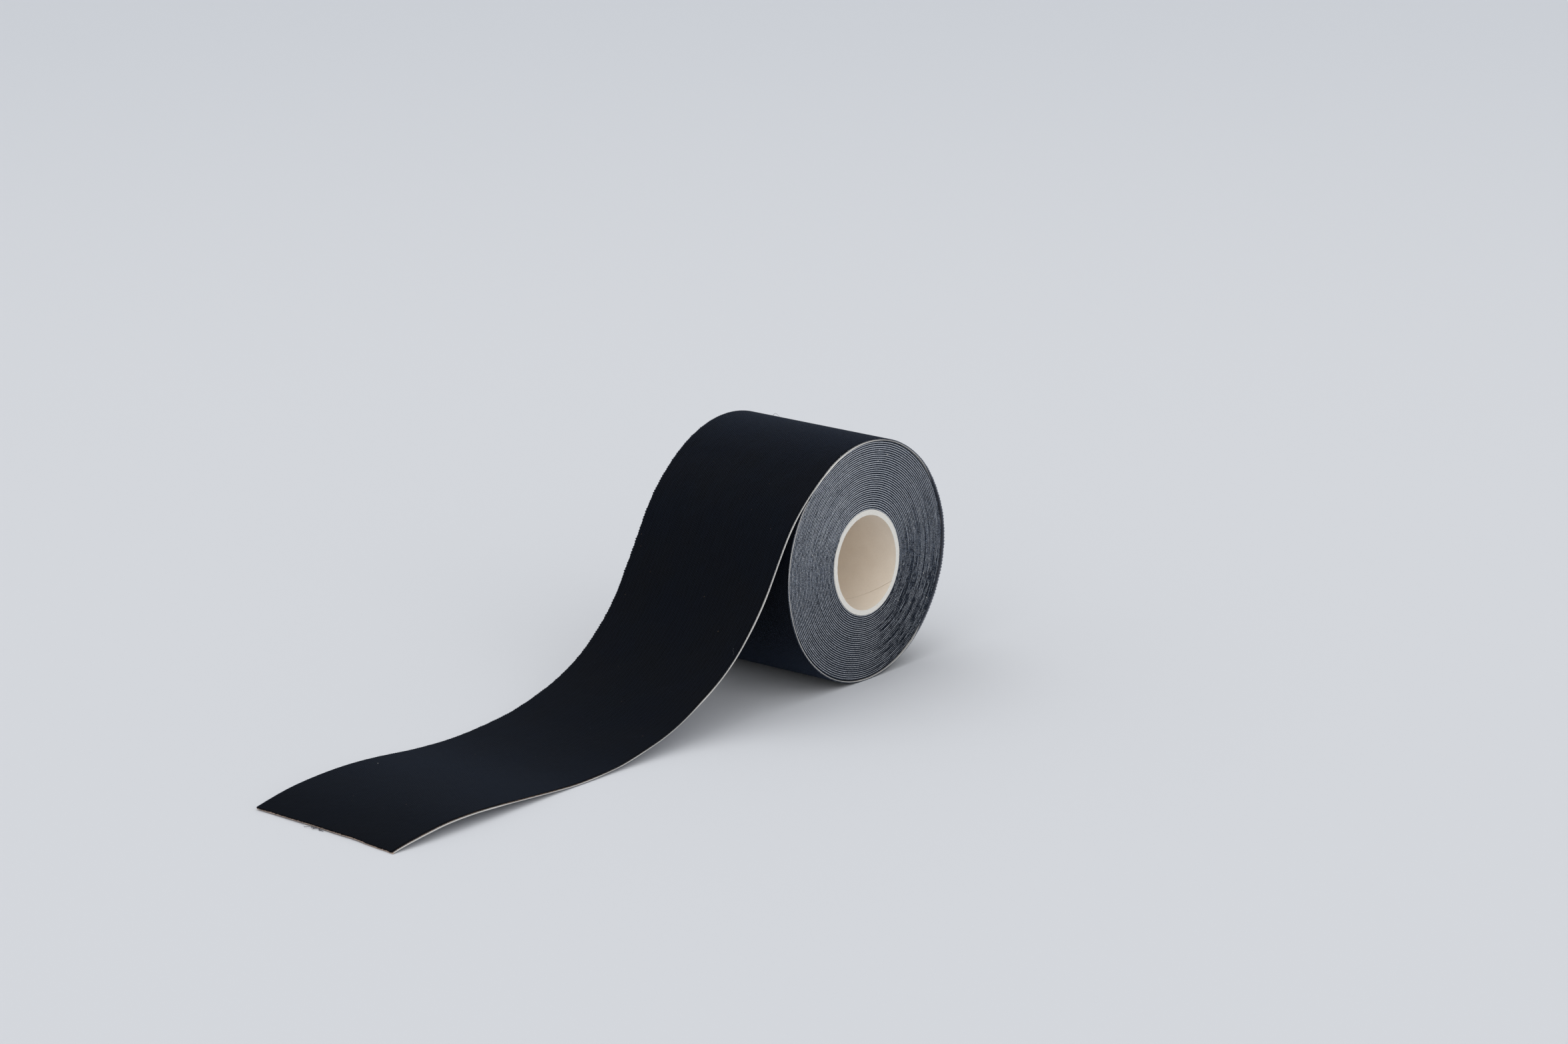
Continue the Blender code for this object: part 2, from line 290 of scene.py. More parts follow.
def cloth_material():
    """Black elastic cotton: fine ribs along the tape, each crossed by weft tufts half a step on; painted
    shade darkens it toward the tip, and painted sheen lightens its cut edges.
    """
    rib_pitch, weft_pitch, band_pitch = 0.50, 0.58, 1.3
    made, tree, shader = new_material("black_cotton", 0.82)
    shader.inputs["Specular IOR Level"].default_value = 0.05
    shader.inputs["Sheen Weight"].default_value = 0.088
    shader.inputs["Sheen Roughness"].default_value = 0.36
    shader.inputs["Sheen Tint"].default_value = (0.39, 0.58, 1.0, 1.0)
    place, along, across = tape_place(tree)
    drift = maths(tree, "MULTIPLY", noise(tree, place, 0.16, 3.0), 1.6)
    drifted = maths(tree, "ADD", across, drift)
    rib_phase = maths(tree, "DIVIDE", drifted, rib_pitch)
    rib = maths(tree, "ABSOLUTE", maths(tree, "SINE", maths(tree, "MULTIPLY", rib_phase, math.pi)))
    half_step = maths(tree, "MULTIPLY", maths(tree, "FLOOR", rib_phase), 0.5)
    weft_phase = maths(tree, "ADD", maths(tree, "DIVIDE", along, weft_pitch), half_step)
    weft = maths(tree, "ABSOLUTE", maths(tree, "SINE", maths(tree, "MULTIPLY", weft_phase, math.pi)))
    tuft = maths(tree, "MULTIPLY_ADD", weft, 0.55, 0.45)
    woven = maths(tree, "MULTIPLY", maths(tree, "POWER", rib, 0.7), tuft)
    fibre = noise(tree, place, 7.0, 3.0, 0.65)
    height = maths(tree, "MULTIPLY_ADD", fibre, 0.40, woven)
    smoothed = ramp(tree, along, 85.0, 175.0, 0.30, 1.0)
    height = maths(tree, "MULTIPLY_ADD", maths(tree, "SUBTRACT", height, 0.6), smoothed, 0.6)
    band = maths(tree, "SINE", maths(tree, "MULTIPLY", drifted, 2 * math.pi / band_pitch))
    banded = maths(tree, "MULTIPLY_ADD", band, 0.10, height)
    worn = noise(tree, place, 0.045, 3.0, 0.6)
    dark_share, pale_share = ramp(tree, worn, 0.35, 0.7), ramp(tree, worn, 0.3, 0.7)
    dark = mix(tree, dark_share, (0.0008, 0.0010, 0.0016, 1.0), (0.0011, 0.0012, 0.0014, 1.0))
    pale = mix(tree, pale_share, (0.0039, 0.0054, 0.0098, 1.0), (0.0048, 0.0054, 0.0078, 1.0))
    face = mix(tree, ramp(tree, banded, 0.25, 1.2), dark, pale)
    # Painted shade: the colour darkens toward the free tip, standing in for shade on the flat, low-lying
    # tail.
    tip_shade = ramp(tree, along, 0.0, 150.0, 0.46, 0.0)
    face = mix(tree, tip_shade, face, (0.0003, 0.0006, 0.0013, 1.0))
    pill = ramp(tree, noise(tree, place, 0.9, 1.0, 0.3), 0.80, 0.84)
    face = mix(tree, pill, face, (0.040, 0.028, 0.020, 1.0))
    # Painted sheen: the cut edges get pale blue-grey specks for the light the cut fibres catch, set denser
    # toward the roll's sides and top by where they lie on it.
    sideways, upward = ring_place(tree)
    speck = maths(tree, "MULTIPLY_ADD", sideways, 0.10, noise(tree, object_place(tree), 5.0, 3.0, 0.75))
    speck = ramp(tree, maths(tree, "MULTIPLY_ADD", upward, 0.04, speck), 0.54, 0.70)
    cut = mix(tree, speck, (0.007, 0.010, 0.016, 1.0), (0.150, 0.180, 0.240, 1.0))
    at_cut = near_edge(tree, across, 0.10, 0.02)
    at_cut = maths(tree, "MULTIPLY", at_cut, ramp(tree, along, 150.0, 235.0, 0.12, 1.0))
    tree.links.new(mix(tree, at_cut, face, cut), shader.inputs["Base Color"])
    tree.links.new(ramp(tree, height, 0.2, 1.2, 0.95, 0.74), shader.inputs["Roughness"])
    bump(tree, shader, height, 0.12 * MM, 1.0)
    return made


def adhesive_material():
    """The cloth's sticky side: a brown film in waves, tan at the free end's edges, and painted a blue-grey
    sheen at its edges round the roll.
    """
    made, tree, shader = new_material("adhesive_film", 0.38)
    shader.inputs["Specular IOR Level"].default_value = 0.45
    place, along, across = tape_place(tree)
    wave_pitch = 2.2
    sway = maths(tree, "MULTIPLY", maths(tree, "SINE", maths(tree, "MULTIPLY", along, 0.42)), 1.1)
    swayed = maths(tree, "ADD", across, sway)
    phase = maths(tree, "MULTIPLY_ADD", noise(tree, place, 0.3), 0.5, swayed)
    wave = maths(tree, "SINE", maths(tree, "MULTIPLY", phase, 2 * math.pi / wave_pitch))
    wave = ramp(tree, wave, -0.4, 0.5)
    film = mix(tree, wave, (0.010, 0.009, 0.008, 1.0), (0.045, 0.032, 0.022, 1.0))
    broken = ramp(tree, noise(tree, place, 1.2, 3.0), 0.40, 0.60)
    broken = maths(tree, "MULTIPLY", near_edge(tree, across, 0.10, 0.02), broken)
    broken = maths(tree, "MULTIPLY", broken, ramp(tree, along, 50.0, 90.0, 1.0, 0.0))
    # Painted sheen: the film's edges on the loose turn are painted a pale blue-grey, standing for light off
    # the glossy film.
    edge_sheen = maths(tree, "MULTIPLY", near_edge(tree, across, 1.0, 0.5), ramp(tree, along, 190.0, 235.0))
    film = mix(tree, edge_sheen, film, (0.105, 0.115, 0.145, 1.0))
    tree.links.new(mix(tree, broken, film, TAN), shader.inputs["Base Color"])
    bump(tree, shader, wave, 0.03 * MM, 0.8)
    return made


def liner_material(name, face_pale, face_dark, edge, shaded_edge):
    """Release paper: faintly mottled in the face greys it is given, pale where it's cut but for dark
    patches of painted shade, and stained at the cut end.
    """
    made, tree, shader = new_material(name, 0.5)
    shader.inputs["Specular IOR Level"].default_value = 0.3
    place, along, across = tape_place(tree)
    mottled = noise(tree, place, 0.25, 4.0, 0.6)
    fibres = noise(tree, place, 2.5, 4.0, 0.7)
    share = maths(tree, "MULTIPLY_ADD", fibres, 0.5, maths(tree, "MULTIPLY", mottled, 0.5))
    face = mix(tree, ramp(tree, share, 0.3, 0.7), (*face_dark, 1.0), (*face_pale, 1.0))
    sideways, upward = ring_place(tree)
    # Painted shade: the cut edges go dark in patches, more toward the roll's sides and foot, where they sit
    # sunk between the cloth layers.
    edge_lit_share = maths(tree, "MULTIPLY_ADD", sideways, -0.14, noise(tree, object_place(tree), 4.5, 3.0, 0.7))
    edge_lit_share = ramp(tree, maths(tree, "MULTIPLY_ADD", upward, 0.05, edge_lit_share), 0.24, 0.56)
    cut = mix(tree, edge_lit_share, (*shaded_edge, 1.0), (*edge, 1.0))
    colour = mix(tree, near_edge(tree, across, 0.75, 0.45), face, cut)
    stained = ramp(tree, along, 0.1, 0.8, 0.8, 0.0)
    tree.links.new(mix(tree, stained, colour, (0.50, 0.34, 0.25, 1.0)), shader.inputs["Base Color"])
    tree.links.new(ramp(tree, fibres, 0.2, 0.8, 0.60, 0.42), shader.inputs["Roughness"])
    bump(tree, shader, fibres, 0.012 * MM, 0.8)
    return made


def paper_material(name, pale, dark, roughness, grain=2.2, depth=0.02, rim=None):
    """Paper or board: soft mottling, fine fibres, a faint grain, and its own colour where it's cut."""
    made, tree, shader = new_material(name, roughness)
    shader.inputs["Specular IOR Level"].default_value = 0.35
    place = object_place(tree)
    mottled = noise(tree, place, 0.25, 4.0, 0.6)
    fibres = noise(tree, place, grain, 4.0, 0.7)
    share = maths(tree, "MULTIPLY_ADD", fibres, 0.5, maths(tree, "MULTIPLY", mottled, 0.5))
    colour = mix(tree, ramp(tree, share, 0.3, 0.7), (*dark, 1.0), (*pale, 1.0))
    if rim is not None:
        across = node(tree, "ShaderNodeSeparateXYZ", {0: place}).outputs["Y"]
        dark_rim = tuple(0.90 * value for value in rim)
        cut = mix(tree, ramp(tree, fibres, 0.35, 0.65), (*dark_rim, 1.0), (*rim, 1.0))
        colour = mix(tree, near_edge(tree, across, 0.12, 0.06), colour, cut)
    tree.links.new(colour, shader.inputs["Base Color"])
    uneven = ramp(tree, fibres, 0.2, 0.8, roughness + 0.1, roughness - 0.1)
    tree.links.new(uneven, shader.inputs["Roughness"])
    bump(tree, shader, fibres, depth * MM, 0.8)
    return made


def fibre_material(name, pale, dark):
    """Loose cotton fibres, some paler than others."""
    made, tree, shader = new_material(name, 0.75)
    shade = ramp(tree, noise(tree, object_place(tree), 1.7), 0.35, 0.65)
    tree.links.new(mix(tree, shade, (*dark, 1.0), (*pale, 1.0)), shader.inputs["Base Color"])
    return made


# The tape's path


def wavy(length, spacing, size, smooth=True):
    """A random wave along length, with a new value every spacing, between -size and size."""
    count = max(4, int(length[-1] / spacing) + 3)
    values = rng.uniform(-size, size, count)
    place = (length - length[0]) / spacing
    low = np.floor(place).astype(int).clip(0, count - 2)
    share = place - low
    if smooth:
        share = share * share * (3 - 2 * share)
    return values[low] * (1 - share) + values[low + 1] * share


def bezier(start, handle_a, handle_b, end, count=400):
    t = np.linspace(0, 1, count)[:, None]
    corners = [np.array(corner) for corner in (start, handle_a, handle_b, end)]
    shares = ((1 - t) ** 3, 3 * t * (1 - t) ** 2, 3 * t * t * (1 - t), t**3)
    return sum(share * corner for share, corner in zip(shares, corners))


def eased(table, place):
    """The table's value at each place, eased from one listed place to the next."""
    places, values = np.array(table).T
    low = np.searchsorted(places, place, side="right").clip(1, len(places) - 1) - 1
    share = ((place - places[low]) / (places[low + 1] - places[low])).clip(0, 1)
    return values[low] + (values[low + 1] - values[low]) * (1 - np.cos(math.pi * share)) / 2


def on_roll(radius, angle):
    turned = np.radians(angle)
    return np.stack([radius * np.cos(turned), AXIS_HEIGHT + radius * np.sin(turned)], axis=1)


def resampled(points, step):
    """The same path with its points a step apart, and each point's length along it."""
    runs = np.hypot(*np.diff(points, axis=0).T)
    length = np.concatenate([[0], np.cumsum(runs)])
    even = np.linspace(0, length[-1], int(length[-1] / step) + 1)
    return np.stack([np.interp(even, length, points[:, i]) for i in (0, 1)], axis=1), even


def side_of(points):
    """The upper or outer unit normal at each point of the path."""
    run = np.gradient(points, axis=0)
    run /= np.hypot(*run.T)[:, None]
    return np.stack([-run[:, 1], run[:, 0]], axis=1)


def free_path():
    """The unwound tape: the low arch, the rise to the roll, and the loose turn round it."""
    leave_angle = LOOSE_SLACK[-1][0]
    leave = Vector(on_roll(LOOSE_RADIUS + LOOSE_SLACK[-1][1], np.array([leave_angle]))[0])
    turned = math.radians(leave_angle)
    leave_slope = Vector((-math.sin(turned), math.cos(turned)))
    drop = bezier(
        leave,
        leave + leave_slope * DROP_HANDLE,
        DROP_END - DROP_END_SLOPE * DROP_END_HANDLES[0],
        DROP_END,
    )
    level = bezier(
        DROP_END,
        DROP_END + DROP_END_SLOPE * DROP_END_HANDLES[1],
        TOUCHDOWN - TOUCHDOWN_SLOPE * TOUCHDOWN_HANDLES[0],
        TOUCHDOWN,
    )
    arch = bezier(TOUCHDOWN, TOUCHDOWN + TOUCHDOWN_SLOPE * TOUCHDOWN_HANDLES[1], ARCH_HANDLE, TIP)
    angles = np.linspace(leave_angle, LOOSE_SLACK[0][0], 1600)
    turn = on_roll(LOOSE_RADIUS + eased(LOOSE_SLACK, angles), angles)
    return np.concatenate([arch[::-1], level[-2::-1], drop[-2::-1], turn[1:]])


def turn_radius(turns):
    """The tape's inner radius after so many turns: round, but for a step over the turn below."""
    layer = np.floor(turns + 1e-9)
    step = ((turns - layer - 1 + STEP_SHARE) / STEP_SHARE).clip(0, 1)
    return FIRST_TURN_RADIUS + TURN_PITCH * (layer + step * step * (3 - 2 * step))


def tight_path(per_turn):
    """The tight turns, from their outer end in to the core, and how each end thins to fit its wedge."""
    outer = TIGHT_LAYERS - STEP_SHARE
    first, last = outer + 0.9 * STEP_SHARE, -0.95 * STEP_SHARE
    turns = np.linspace(first, last, round((first - last) * per_turn) + 1)
    radius = np.maximum(turn_radius(turns), FIRST_TURN_RADIUS)
    room_outside = LOOSE_RADIUS - 0.05 * MM - radius
    room_inside = np.where(turns < 0, turn_radius(turns + 1) - radius, room_outside)
    thinned = (np.minimum(room_outside, room_inside) / TAPE_THICKNESS).clip(0.04, 1)
    return on_roll(radius, TIGHT_END_ANGLE + 360.0 * (turns - outer)), thinned


def core_shift(points):
    """The core sits a little off centre and a little oval, and the turns round it even that out."""
    out = points - np.array([0.0, AXIS_HEIGHT])
    radius = np.hypot(*out.T)
    outermost = LOOSE_RADIUS - 0.8 * MM
    share = ((outermost - radius) / (outermost - CORE_BORE_RADIUS)).clip(0, 1)
    angle = np.arctan2(out[:, 1], out[:, 0])
    oval = 0.42 * MM * np.cos(2 * (angle - math.radians(116.0))) * share
    offset = np.stack([0.0 * MM * share, -0.5 * MM * share], axis=1)
    return points + out / radius[:, None] * oval[:, None] + offset


# Strips


def mesh_object(name, verts, faces, uvs=None):
    """A smooth-shaded mesh in the scene, with its place on the tape as a UV map if it has one."""
    mesh = bpy.data.meshes.new(name)
    mesh.from_pydata(verts.tolist(), [], faces)
    if uvs is not None:
        layer = mesh.uv_layers.new(name="tape")
        corners = np.zeros(len(mesh.loops), np.int32)
        mesh.loops.foreach_get("vertex_index", corners)
        layer.data.foreach_set("uv", uvs[corners].astype(np.float32).ravel())
    mesh.shade_smooth()
    made = bpy.data.objects.new(name, mesh)
    bpy.context.scene.collection.objects.link(made)
    return made


class Strip:
    """A closed ribbon that follows a path: a loop of points round it at each place along it."""

    def __init__(self, points, length, under, over, columns, edge_round=0.0, twist=None, thinned=None):
        self.points, self.length = points, length
        self.twist = np.zeros(len(points)) if twist is None else twist
        self.thinned = np.ones(len(points)) if thinned is None else thinned
        self.side = side_of(points)
        self.under, self.over = under, over
        self.columns = np.array(columns) * WIDTH + NEAR_Y
        self.edge_round = edge_round
        self.near = np.zeros(len(points))
        self.far = np.zeros(len(points))
        self.jagged = None
        self.below = None

    def place(self, rows, across, height):
        """Points at a place across and a height over the path's rows, no lower than the floor."""
        along = self.length[rows]
        height = height * self.thinned[rows] + self.twist[rows] * (across / (WIDTH / 2))
        if self.jagged is not None:
            places, cut = self.jagged
            along = along + np.interp(across, places, cut) * (1 - along / CUT_REACH).clip(0, 1) ** 2
        point = [np.interp(along, self.length, self.points[:, i]) for i in (0, 1)]
        side = [np.interp(along, self.length, self.side[:, i]) for i in (0, 1)]
        above_floor = np.maximum(point[1] + side[1] * height, 0.0)
        return np.stack([point[0] + side[0] * height, across, above_floor], axis=-1)

    def build(self, name, first=0, last=None, columns=None):
        """The ribbon from the first row to the last, with both ends closed; below marks its lower faces."""
        rows = np.arange(first, len(self.points) if last is None else last + 1)
        y = self.columns if columns is None else columns
        round_out = 0.8 * self.edge_round
        reach = 2.0 * MM
        near_share = (1 - (y - NEAR_Y) / reach).clip(0, 1)
        far_share = (1 - (FAR_Y - y) / reach).clip(0, 1)
        grid = y + self.near[rows][:, None] * near_share + self.far[rows][:, None] * far_share
        thin = np.zeros(len(y))
        thin[[0, -1]] = self.edge_round
        middle = (self.under + self.over) / 2
        loops = []
        for j in range(len(y)):
            loops.append(self.place(rows, grid[:, j], self.over - thin[j]))
        loops.append(self.place(rows, grid[:, -1] + round_out, middle))
        for j in reversed(range(len(y))):
            loops.append(self.place(rows, grid[:, j], self.under + thin[j]))
        loops.append(self.place(rows, grid[:, 0] - round_out, middle))
        verts = np.stack(loops, axis=1)
        around = verts.shape[1]
        uvs = np.stack([np.repeat(self.length[rows], around), verts[:, :, 1].ravel()], axis=1)
        faces = ribbon_faces(len(rows), around)
        faces += end_faces(0, len(y), False) + end_faces((len(rows) - 1) * around, len(y), True)
        made = mesh_object(name, verts.reshape(-1, 3), faces, uvs)
        made.data.set_sharp_from_angle(angle=math.radians(75))
        self.below = np.zeros(len(faces), np.int32)
        place = np.arange((len(rows) - 1) * around) % around
        self.below[: len(place)] = (place >= len(y)) & (place <= 2 * len(y))
        return made


def ribbon_faces(rows, around):
    start = (np.arange(rows - 1) * around)[:, None]
    here = np.arange(around)[None, :]
    after = (here + 1) % around
    corners = [start + here, start + around + here, start + around + after, start + after]
    return np.stack(corners, axis=-1).reshape(-1, 4).tolist()


def end_faces(base, columns, far_end):
    """Faces that close a ribbon's end, between its upper row of points and its lower one."""
    around = 2 * columns + 2
    faces = []
    for j in range(columns - 1):
        low = 2 * columns - j
        faces.append([base + j, base + j + 1, base + low - 1, base + low])
    faces.append([base + columns - 1, base + columns, base + columns + 1])
    faces.append([base, base + 2 * columns, base + around - 1])
    return [face if far_end else face[::-1] for face in faces]


def fibres(name, paths, radius, material, slot, body, sides=3):
    """Thin closed tubes, one along each path of 3D points, as one piece on a body."""
    verts, faces, base = [], [], 0
    helper = np.array([0.31, 0.17, 0.93])
    corners = 2 * math.pi * np.arange(sides) / sides
    cosines, sines = np.cos(corners)[None, :, None], np.sin(corners)[None, :, None]
    for path in paths:
        path = np.asarray(path)
        run = np.gradient(path, axis=0)
        run /= np.linalg.norm(run, axis=1)[:, None]
        first = np.cross(run, helper)
        first /= np.linalg.norm(first, axis=1)[:, None]
        second = np.cross(run, first)
        thin = radius * np.linspace(1.0, 0.6, len(path))[:, None, None]
        ring = cosines * first[:, None] + sines * second[:, None]
        verts.append((path[:, None] + thin * ring).reshape(-1, 3))
        faces += [[base + corner for corner in face] for face in ribbon_faces(len(path), sides)]
        end = base + (len(path) - 1) * sides
        faces.append([base + corner for corner in range(sides)])
        faces.append([end + corner for corner in reversed(range(sides))])
        base += len(path) * sides
    piece = finish_piece(mesh_object(name, np.concatenate(verts), faces), [material])
    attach(piece, body)
    return piece


def finish_piece(piece, materials):
    for material in materials:
        piece.data.materials.append(material)
    return piece


# Camera, floor and light


def make_camera():
    """The camera that looks along the free end to the roll, from its left and a little above."""
    place = Vector((-785.1, -644.6, 307.1)) * MM
    aim = Vector((-12.6, -5.6, 45.0)) * MM
    data = bpy.data.cameras.new("camera")
    data.sensor_width = 36.0
    data.lens = 85.87
    data.clip_start = 0.01
    data.clip_end = 50.0
    made = bpy.data.objects.new("camera", data)
    made.location = place
    turn = (aim - place).to_track_quat("-Z", "Y").to_matrix().to_4x4()
    roll = Matrix.Rotation(math.radians(-0.15), 4, "Z")
    made.rotation_euler = (turn @ roll).to_euler()
    bpy.context.scene.collection.objects.link(made)
    bpy.context.scene.camera = made


def make_stage():
    """A wide pale floor, darker away from the roll as painted shade for the light falling off in the
    distance.
    """
    half = 30.0
    corners = [(-half, -half, 0.0), (half, -half, 0.0), (half, half, 0.0), (-half, half, 0.0)]
    made = mesh_object("floor", np.array(corners), [[0, 1, 2, 3]])
    material, tree, shader = new_material("pale_floor", 0.7)
    shader.inputs["Specular IOR Level"].default_value = 0.2
    # Painted shade: the floor's colour darkens from the roll outward.
    away = node(tree, "ShaderNodeVectorMath", {0: object_place(tree)}, operation="LENGTH").outputs["Value"]
    far_share = ramp(tree, away, 150, 1800)
    colour = mix(tree, far_share, (0.700, 0.718, 0.760, 1.0), (0.630, 0.655, 0.705, 1.0))
    tree.links.new(colour, shader.inputs["Base Color"])
    made.data.materials.append(material)


def new_sun(name, place, power, colour, softness):
    """A sun that shines from a place towards the origin, and looks this many degrees across."""
    data = bpy.data.lights.new(name, "SUN")
    data.energy = power
    data.color = colour
    data.angle = math.radians(softness)
    made = bpy.data.objects.new(name, data)
    made.location = place
    made.rotation_euler = (-Vector(place)).to_track_quat("-Z", "Y").to_euler()
    bpy.context.scene.collection.objects.link(made)


def make_light():
    """A pale world, a soft light from above and a softer one from the front left."""
    world = bpy.data.worlds.new("studio")
    world.use_nodes = True
    background = world.node_tree.nodes["Background"]
    background.inputs["Color"].default_value = (0.965, 0.985, 1.0, 1.0)
    background.inputs["Strength"].default_value = 0.55
    bpy.context.scene.world = world
    new_sun("overhead", (0.05, 0.25, 1.0), 0.80, (1.0, 0.99, 0.97), softness=60)
    new_sun("front", (-0.6, -0.75, 0.55), 1.05, (1.0, 0.985, 0.96), softness=85)
    bpy.context.scene.view_settings.view_transform = "Standard"


# The pieces


def toothed(edge, length, sign, size, tooth, spread):
    """Teeth along a cloth edge, each with its own height, and a slow wave."""
    phase = (length / tooth) % 1.0
    amount = (wavy(length, tooth, spread, smooth=False) + 0.7).clip(0.05, 2)
    edge += sign * size * amount * np.minimum(phase / 0.6, (1 - phase) / 0.4)
    edge += wavy(length, 9.0 * MM, 0.10 * MM) - sign * 0.06 * MM


def loose_strips(cut_places):
    """The cloth and the liner of the loose turn and the free end, each as one whole strip."""
    points, length = resampled(free_path(), 0.16 * MM)
    columns = (0, 0.002, 0.006, 0.015, 0.05, 0.15, 0.3, 0.5, 0.7, 0.85, 0.95, 0.985, 0.994, 0.998, 1)
    low = LINER_THICKNESS + LAYER_GAP
    shape = {"twist": eased(TWIST, length), "thinned": ((length[-1] - length) / (2.6 * MM)).clip(0.12, 1)}
    over = Strip(points, length, low, low + CLOTH_THICKNESS, columns, 0.08 * MM, **shape)
    on_ring = ((length - 222 * MM) / (12 * MM)).clip(0, 1) * ((294 * MM - length) / (10 * MM)).clip(0, 1)
    toothed(over.near, length, -1, 0.09 * MM + 0.24 * MM * on_ring, 0.93 * MM, 0.35)
    toothed(over.far, length, 1, np.interp(length / MM, *zip(*FAR_TEETH)) * MM, 0.8 * MM, 0.75)
    under = Strip(points, length, 0.0, LINER_THICKNESS, (0, 0.004, 0.5, 0.996, 1), **shape)
    on_top = np.exp(-(((length - 200 * MM) / (12 * MM)) ** 2))
    kinks = wavy(length, 4.5 * MM, 0.16 * MM, smooth=False)
    under.near += wavy(length, 6.0 * MM, 0.05 * MM) - eased(LINER_PROUD, length) + kinks * on_top
    under.far += -0.15 * MM + wavy(length, 6.0 * MM, 0.06 * MM)
    ragged = rng.uniform(0, 0.30 * MM, len(cut_places))
    over.jagged = (cut_places, eased(CUT_BACK, cut_places) + ragged)
    under.jagged = (cut_places, eased(CUT_BACK, cut_places) + 0.03 * MM)
    return over, under


def unwound_pieces(cloth, adhesive, liner):
    """The loose turn and the free end, split where a stretch rides on one body only."""
    cut_places = np.linspace(NEAR_Y, FAR_Y, 140)
    over, under = loose_strips(cut_places)
    length, flat_half = over.length, over.points[: len(over.points) // 2, 0]
    hinges = [Vector(joints[bend[0]]["pos_m"]) for bend in BENDS]
    splits = [hinge.x - bend[3] - 0.3 * MM for hinge, bend in zip(hinges[:3], BENDS)]
    rows = [int(np.argmin(np.abs(flat_half - split))) for split in splits]
    ends = [len(length) - 1, *rows]
    for strip, kind, count in ((over, "cloth", 4), (under, "liner", 3)):
        for i in range(count):
            at_tip = i == count - 1
            first = 0 if at_tip else rows[i]
            name = f"unwound_{kind}_strip" if i == 0 else f"free_end_{kind}_strip_{i}"
            piece = strip.build(name, first, ends[i], cut_places if at_tip else None)
            if strip is over:
                finish_piece(piece, [cloth, adhesive])
                piece.data.polygons.foreach_set("material_index", strip.below)
            else:
                finish_piece(piece, [liner])
            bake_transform(piece)
            stand = [f"unwound_{kind}"] if i == 0 else []
            stand += [f"free_end_{kind}_{i + 1}"] if i < 3 else ["peel_tip_cloth"]
            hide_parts(*stand)
    return over


def wound_pieces(cloth, liner):
    """The tight turns: one strip of cloth and one of liner, each a spiral of its own."""
    points, thinned = tight_path(200)
    points = core_shift(points)
    runs = np.hypot(*np.diff(points, axis=0).T)
    length = np.concatenate([[0], np.cumsum(runs)]) + WOUND_START
    points += side_of(points) * (wavy(length, 7.0 * MM, 0.02 * MM) * (thinned == 1))[:, None]
    low = LINER_THICKNESS + LAYER_GAP
    spans = {"cloth": (low + 0.03 * MM, low + CLOTH_THICKNESS), "liner": (-0.005 * MM, low - 0.025 * MM)}
    columns = (0, 0.003, 0.02, 0.98, 0.997, 1)
    over = Strip(points, length, *spans["cloth"], columns, 0.07 * MM, thinned=thinned)
    for edge, sign in ((over.near, -1), (over.far, 1)):
        edge += wavy(length, 0.5 * MM, 0.06 * MM) + wavy(length, 12.0 * MM, 0.05 * MM) + sign * 0.01 * MM
    under = Strip(points, length, *spans["liner"], (0, 0.01, 0.99, 1), thinned=thinned)
    recess = eased(LINER_RECESS, np.degrees(np.arctan2(points[:, 1] - AXIS_HEIGHT, points[:, 0])))
    for edge, sign in ((under.near, -1), (under.far, 1)):
        edge += wavy(length, 3.0 * MM, 0.03 * MM) + wavy(length, 20.0 * MM, 0.04 * MM) - sign * recess
    for strip, slot, material in ((over, "cloth", cloth), (under, "liner", liner)):
        piece = finish_piece(strip.build(f"wound_{slot}_turns"), [material])
        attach(piece, "roll")
        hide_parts(f"wound_{slot}")


def curled(start, run, size, bend, count=4):
    """A short curved path from a point, along a run, bent to a side."""
    share = np.linspace(0, 1, count)[:, None]
    return np.asarray(start) + np.asarray(run) * size * share + np.asarray(bend) * share**2


def ring_fuzz(fuzz, lint):
    """Fine fibres that stand out of the roll's two faces, and the pale lint caught on the near one."""
    for name, face_y, outward, count in (("near", NEAR_Y, -1, 4200), ("far", FAR_Y, 1, 1600)):
        layer = rng.integers(0, TIGHT_LAYERS - 1, count)
        radius = FIRST_TURN_RADIUS + TURN_PITCH * layer + rng.uniform(0.16, 0.52, count) * MM
        angle = rng.choice((0, 180), count) + rng.normal(0, 48, count)
        flat = core_shift(on_roll(radius, angle))
        size = rng.uniform(0.10, 0.34, count) * MM
        lean = rng.normal(0, 0.45, (count, 2))
        bend = rng.normal(0, 0.10, (count, 3)) * MM
        paths = []
        for i in range(count):
            start = (flat[i, 0], face_y - outward * 0.05 * MM, flat[i, 1])
            paths.append(curled(start, (lean[i, 0], outward, lean[i, 1]), size[i], bend[i]))
        fibres(f"ring_fuzz_{name}", paths, 0.020 * MM, fuzz, "cloth", "roll")
    count = 60
    flat = core_shift(on_roll(rng.uniform(15.5, 33.0, count) * MM, rng.uniform(0, 360, count)))
    angle = rng.uniform(0, 2 * math.pi, count)
    paths = []
    for i in range(count):
        start = (flat[i, 0], NEAR_Y - rng.uniform(0.08, 0.16) * MM, flat[i, 1])
        run = (math.cos(angle[i]), -0.2, math.sin(angle[i]))
        paths.append(curled(start, run, rng.uniform(0.06, 0.36) * MM, rng.normal(0, 0.08, 3) * MM))
    fibres("ring_lint", paths, 0.055 * MM, lint, "cloth", "roll", 5)


